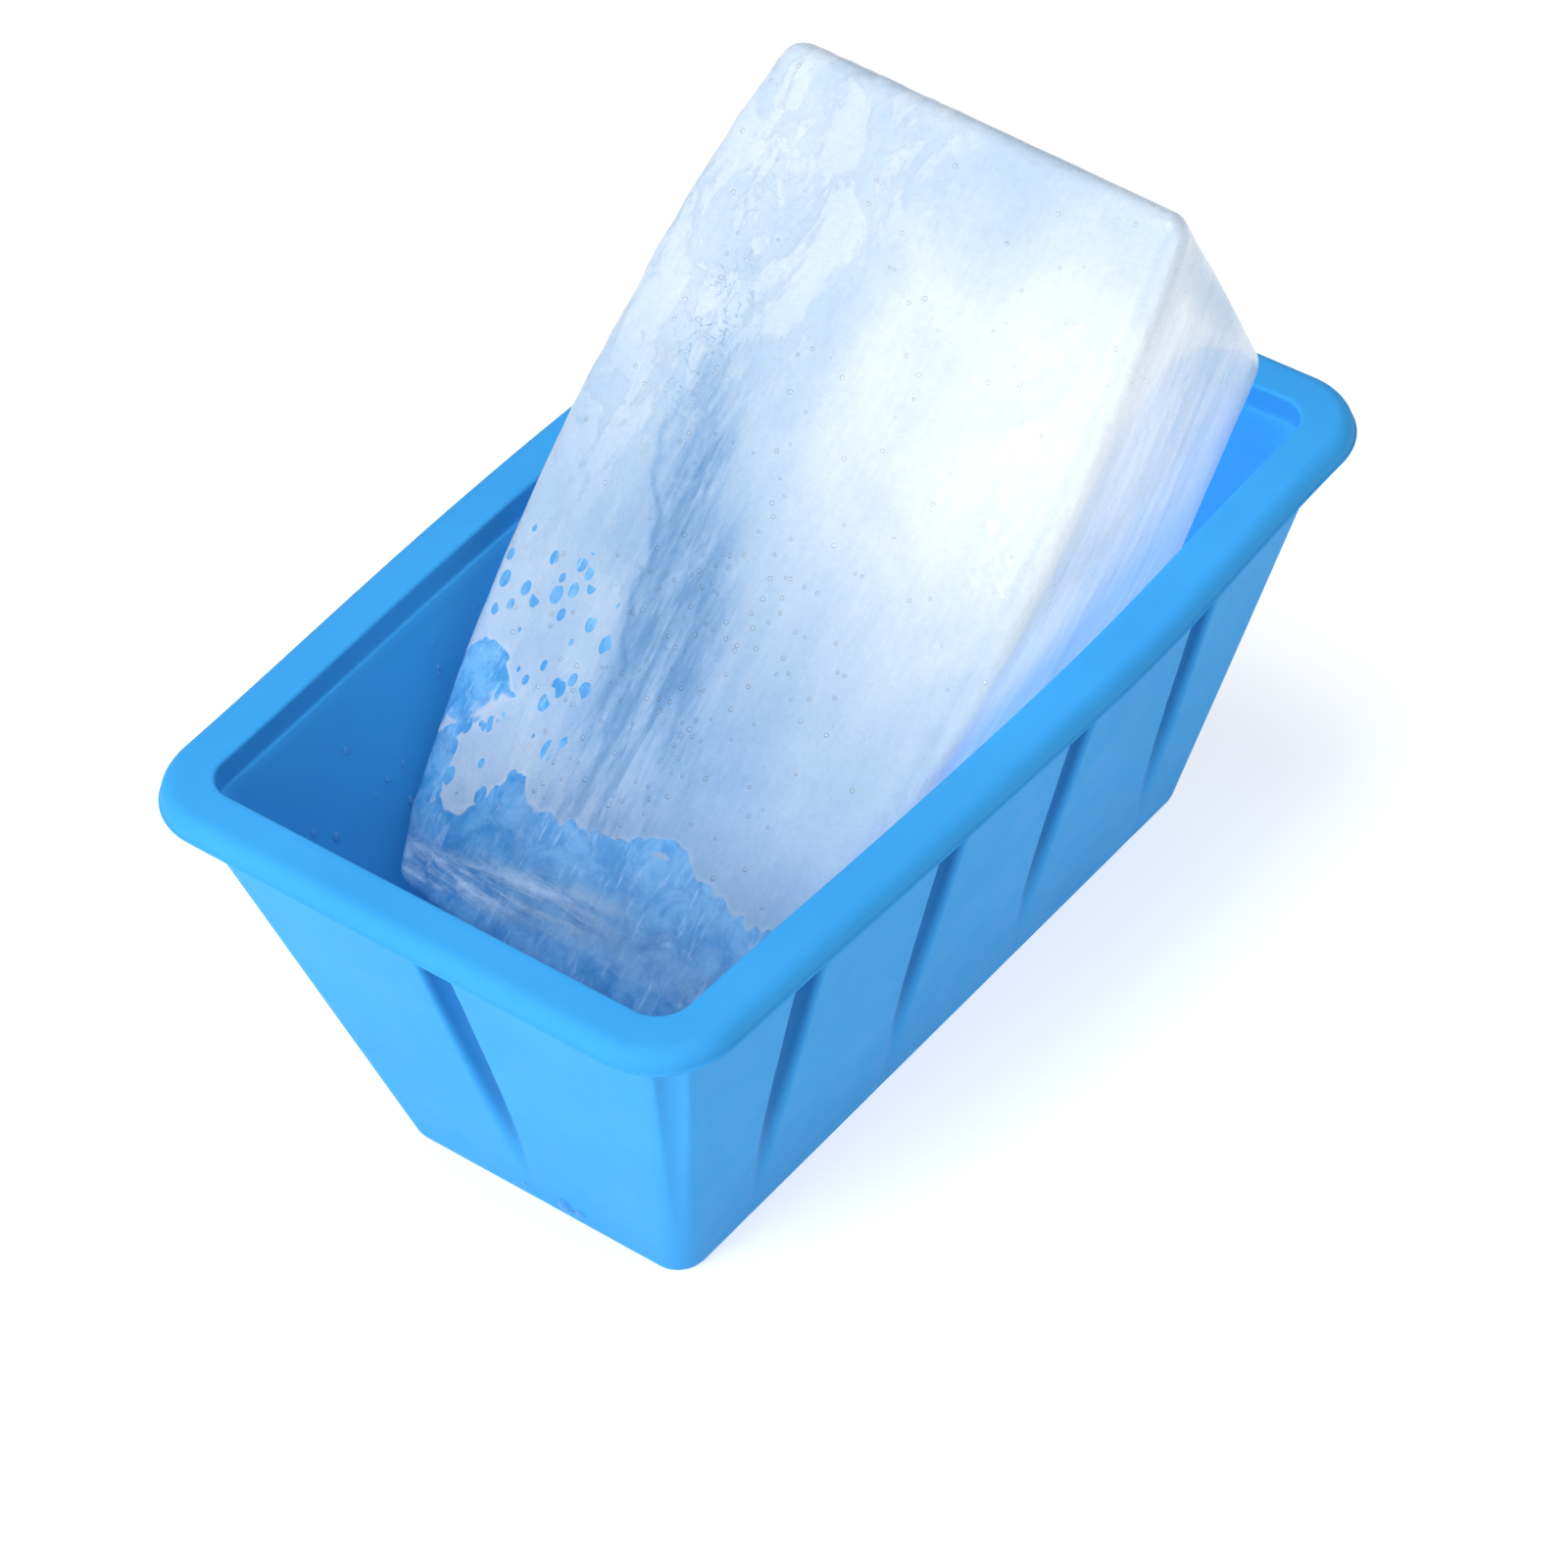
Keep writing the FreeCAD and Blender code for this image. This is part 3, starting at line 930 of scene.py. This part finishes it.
def crest_bumps(x, y):
    """A run of small raised beads on the right of the face, in metres of height."""
    dice = random.Random(7)
    height = np.zeros(len(x))
    for _ in range(BEAD_COUNT):
        run = dice.random()
        middle_x = lerp(BEAD_RUN_START[0], BEAD_RUN_END[0], run) + dice.gauss(0, 0.004)
        middle_y = lerp(BEAD_RUN_START[1], BEAD_RUN_END[1], run) + dice.gauss(0, 0.0045)
        radius = dice.uniform(0.0008, 0.0018)
        tall = dice.uniform(0.0003, 0.0009)
        height += tall * hill(x, middle_x, radius) * hill(y, middle_y, 0.8 * radius)
    return height


def relief(places):
    """How far the block's surface stands out from the smooth cast, in metres."""
    x, y, z = places.T
    on_face = smoothstep(0.094, 0.101, z)
    height = crest_bumps(x, y) * on_face
    rough = smoothstep(0.0, 0.03, y) * smoothstep(-0.02, 0.05, x) * on_face
    ragged = smoothstep(-0.085, -0.105, x)
    for index, place in enumerate(places):
        spot = Vector(place)
        wide = noise.noise(spot * 24.0)
        middle = noise.noise(spot * 80.0 + Vector((3.0, 7.0, 1.0)))
        fine = noise.noise(Vector((spot.x * 150.0, spot.y * 260.0, spot.z * 200.0)))
        height[index] += WAVES * wide + LUMPS * middle
        height[index] += rough[index] * ROUGHNESS * max(fine + 0.4 * middle, -0.2)
        height[index] += ragged[index] * RAGGEDNESS * middle
    chip = hill(x, CHIP_X, CHIP_SIZE) * hill(y, CHIP_Y, CHIP_SIZE) * smoothstep(0.05, 0.10, z)
    return height - CHIP_DEPTH * chip


def build_block(material):
    points, faces = block_points()
    obj = mesh_object("ice_block", points, faces, material)
    bm = bmesh.new()
    bm.from_mesh(obj.data)
    bmesh.ops.remove_doubles(bm, verts=bm.verts, dist=BLOCK_STEP * 0.02)
    bm.normal_update()
    bm.to_mesh(obj.data)
    bm.free()
    places = vertex_array(obj.data, "co")
    normals = vertex_array(obj.data, "normal")
    fields = block_fields(*places.T)
    # painted glow, given out by the ice's surface
    fields["painted_glow"] = block_painted_glow(places)
    places = places + normals * relief(places)[:, None]
    obj.data.vertices.foreach_set("co", places.ravel())
    obj.data.update()
    obj.data.shade_smooth()
    for name, values in fields.items():
        store(obj.data, name, values)
    obj.matrix_world = block_frame()
    obj.visible_shadow = False
    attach(obj, "block")
    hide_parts("cast_block")


# ---------------------------------------------------------------- water
def bead(middle, normal, width, length, height):
    """Points and faces of one flattened drop lying on a surface, drawn out downwards."""
    down = (normal * UP.dot(normal) - UP).normalized()
    side = normal.cross(down)
    points = []
    for row in range(DROP_ROWS):
        angle = math.pi / 2 * row / DROP_ROWS
        for step in range(DROP_ROUNDS):
            turn = 2 * math.pi * step / DROP_ROUNDS
            reach = math.cos(angle)
            long_way = math.cos(turn) * length * reach
            wide_way = math.sin(turn) * width * reach * (1 + DROP_BULGE * math.cos(turn))
            plan = Vector(middle) + down * long_way + side * wide_way
            points.append(plan + normal * height * math.sin(angle))
    tip = len(points)
    points.append(Vector(middle) + normal * height)
    faces = [list(range(DROP_ROUNDS))[::-1], *bands(DROP_ROWS, DROP_ROUNDS)]
    top_row = tip - DROP_ROUNDS
    for step in range(DROP_ROUNDS):
        faces.append([top_row + step, top_row + (step + 1) % DROP_ROUNDS, tip])
    return points, faces


def build_drops(material):
    """Melt water: drops on the inside of the far long wall and at the foot of the near end wall."""
    dice = random.Random(21)
    points = []
    faces = []

    def add(*shape):
        more_points, more_faces = bead(*shape)
        shift = len(points)
        points.extend(more_points)
        faces.extend([[index + shift for index in face] for face in more_faces])

    rise = (FLOOR_HALF_Y - cavity_sizes(LEDGE_Z)[1]) / (LEDGE_Z - FLOOR_Z)
    inward = Vector((0, -1, -rise)).normalized()
    for _ in range(WALL_DROPS):
        z = lerp(WALL_DROP_LOW, WALL_DROP_HIGH, dice.random() ** 0.8)
        x = dice.uniform(-0.118, 0.02)
        half_y = cavity_sizes(z)[1]
        y = bowed(np.array([[x, half_y]]), z)[0][1]
        up_share = (z - WALL_DROP_LOW) / (WALL_DROP_HIGH - WALL_DROP_LOW)
        size = lerp(0.0013, 0.0006, up_share) * dice.uniform(0.6, 1.3)
        add((x, y - 0.0001, z), inward, size, size * dice.uniform(1.0, 1.5), size * 0.5)
    outward = Vector((-1, 0, -0.25)).normalized()
    for y, size in FOOT_DROPS:
        place = (-BASE_HALF_X - FOOT_DROP_OUT, y, FOOT_DROP_Z)
        add(place, outward, size, size * 1.3, size * 0.55)
    obj = mesh_object("melt_drops", points, faces, material)
    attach(obj, "mould")


# ---------------------------------------------------------------- stage
def build_floor():
    bpy.ops.mesh.primitive_plane_add(size=FLOOR_SIZE, location=(0, 0, 0))
    floor = bpy.context.object
    floor.name = "floor"
    floor.data.materials.append(floor_material())


def area_light(name, location, target, side, power):
    light = bpy.data.lights.new(name, "AREA")
    light.shape = "RECTANGLE"
    light.size = light.size_y = side
    light.energy = power
    obj = bpy.data.objects.new(name, light)
    obj.location = location
    obj.rotation_euler = (Vector(target) - Vector(location)).to_track_quat("-Z", "Y").to_euler()
    bpy.context.scene.collection.objects.link(obj)


def build_lights():
    world = bpy.data.worlds.new("studio")
    world.use_nodes = True
    background = world.node_tree.nodes["Background"]
    background.inputs["Color"].default_value = WORLD_TINT
    background.inputs["Strength"].default_value = WORLD_STRENGTH
    bpy.context.scene.world = world
    for softbox in SOFTBOXES:
        area_light(*softbox)


def build_camera():
    back = Vector((
        math.sin(VIEW_AZIMUTH) * math.cos(VIEW_ELEVATION),
        -math.cos(VIEW_AZIMUTH) * math.cos(VIEW_ELEVATION),
        math.sin(VIEW_ELEVATION),
    ))
    level_right = (-back).cross(UP).normalized()
    level_up = level_right.cross(-back)
    right = math.cos(VIEW_ROLL) * level_right + math.sin(VIEW_ROLL) * level_up
    up = -math.sin(VIEW_ROLL) * level_right + math.cos(VIEW_ROLL) * level_up
    place = VIEW_TARGET + back * VIEW_DISTANCE + right * VIEW_OFFSET[0] + up * VIEW_OFFSET[1]
    camera = bpy.data.cameras.new("camera")
    camera.sensor_width = SENSOR
    camera.lens = LENS
    camera.clip_end = CLIP_END
    obj = bpy.data.objects.new("camera", camera)
    turn = Matrix((right, up, back)).transposed()
    obj.matrix_world = Matrix.Translation(place) @ turn.to_4x4()
    bpy.context.scene.collection.objects.link(obj)
    bpy.context.scene.camera = obj


def main():
    bpy.context.scene.view_settings.view_transform = "Standard"
    build_camera()
    build_moulding(silicone_material())
    build_block(ice_material())
    build_drops(water_material())
    build_floor()
    build_lights()


main()
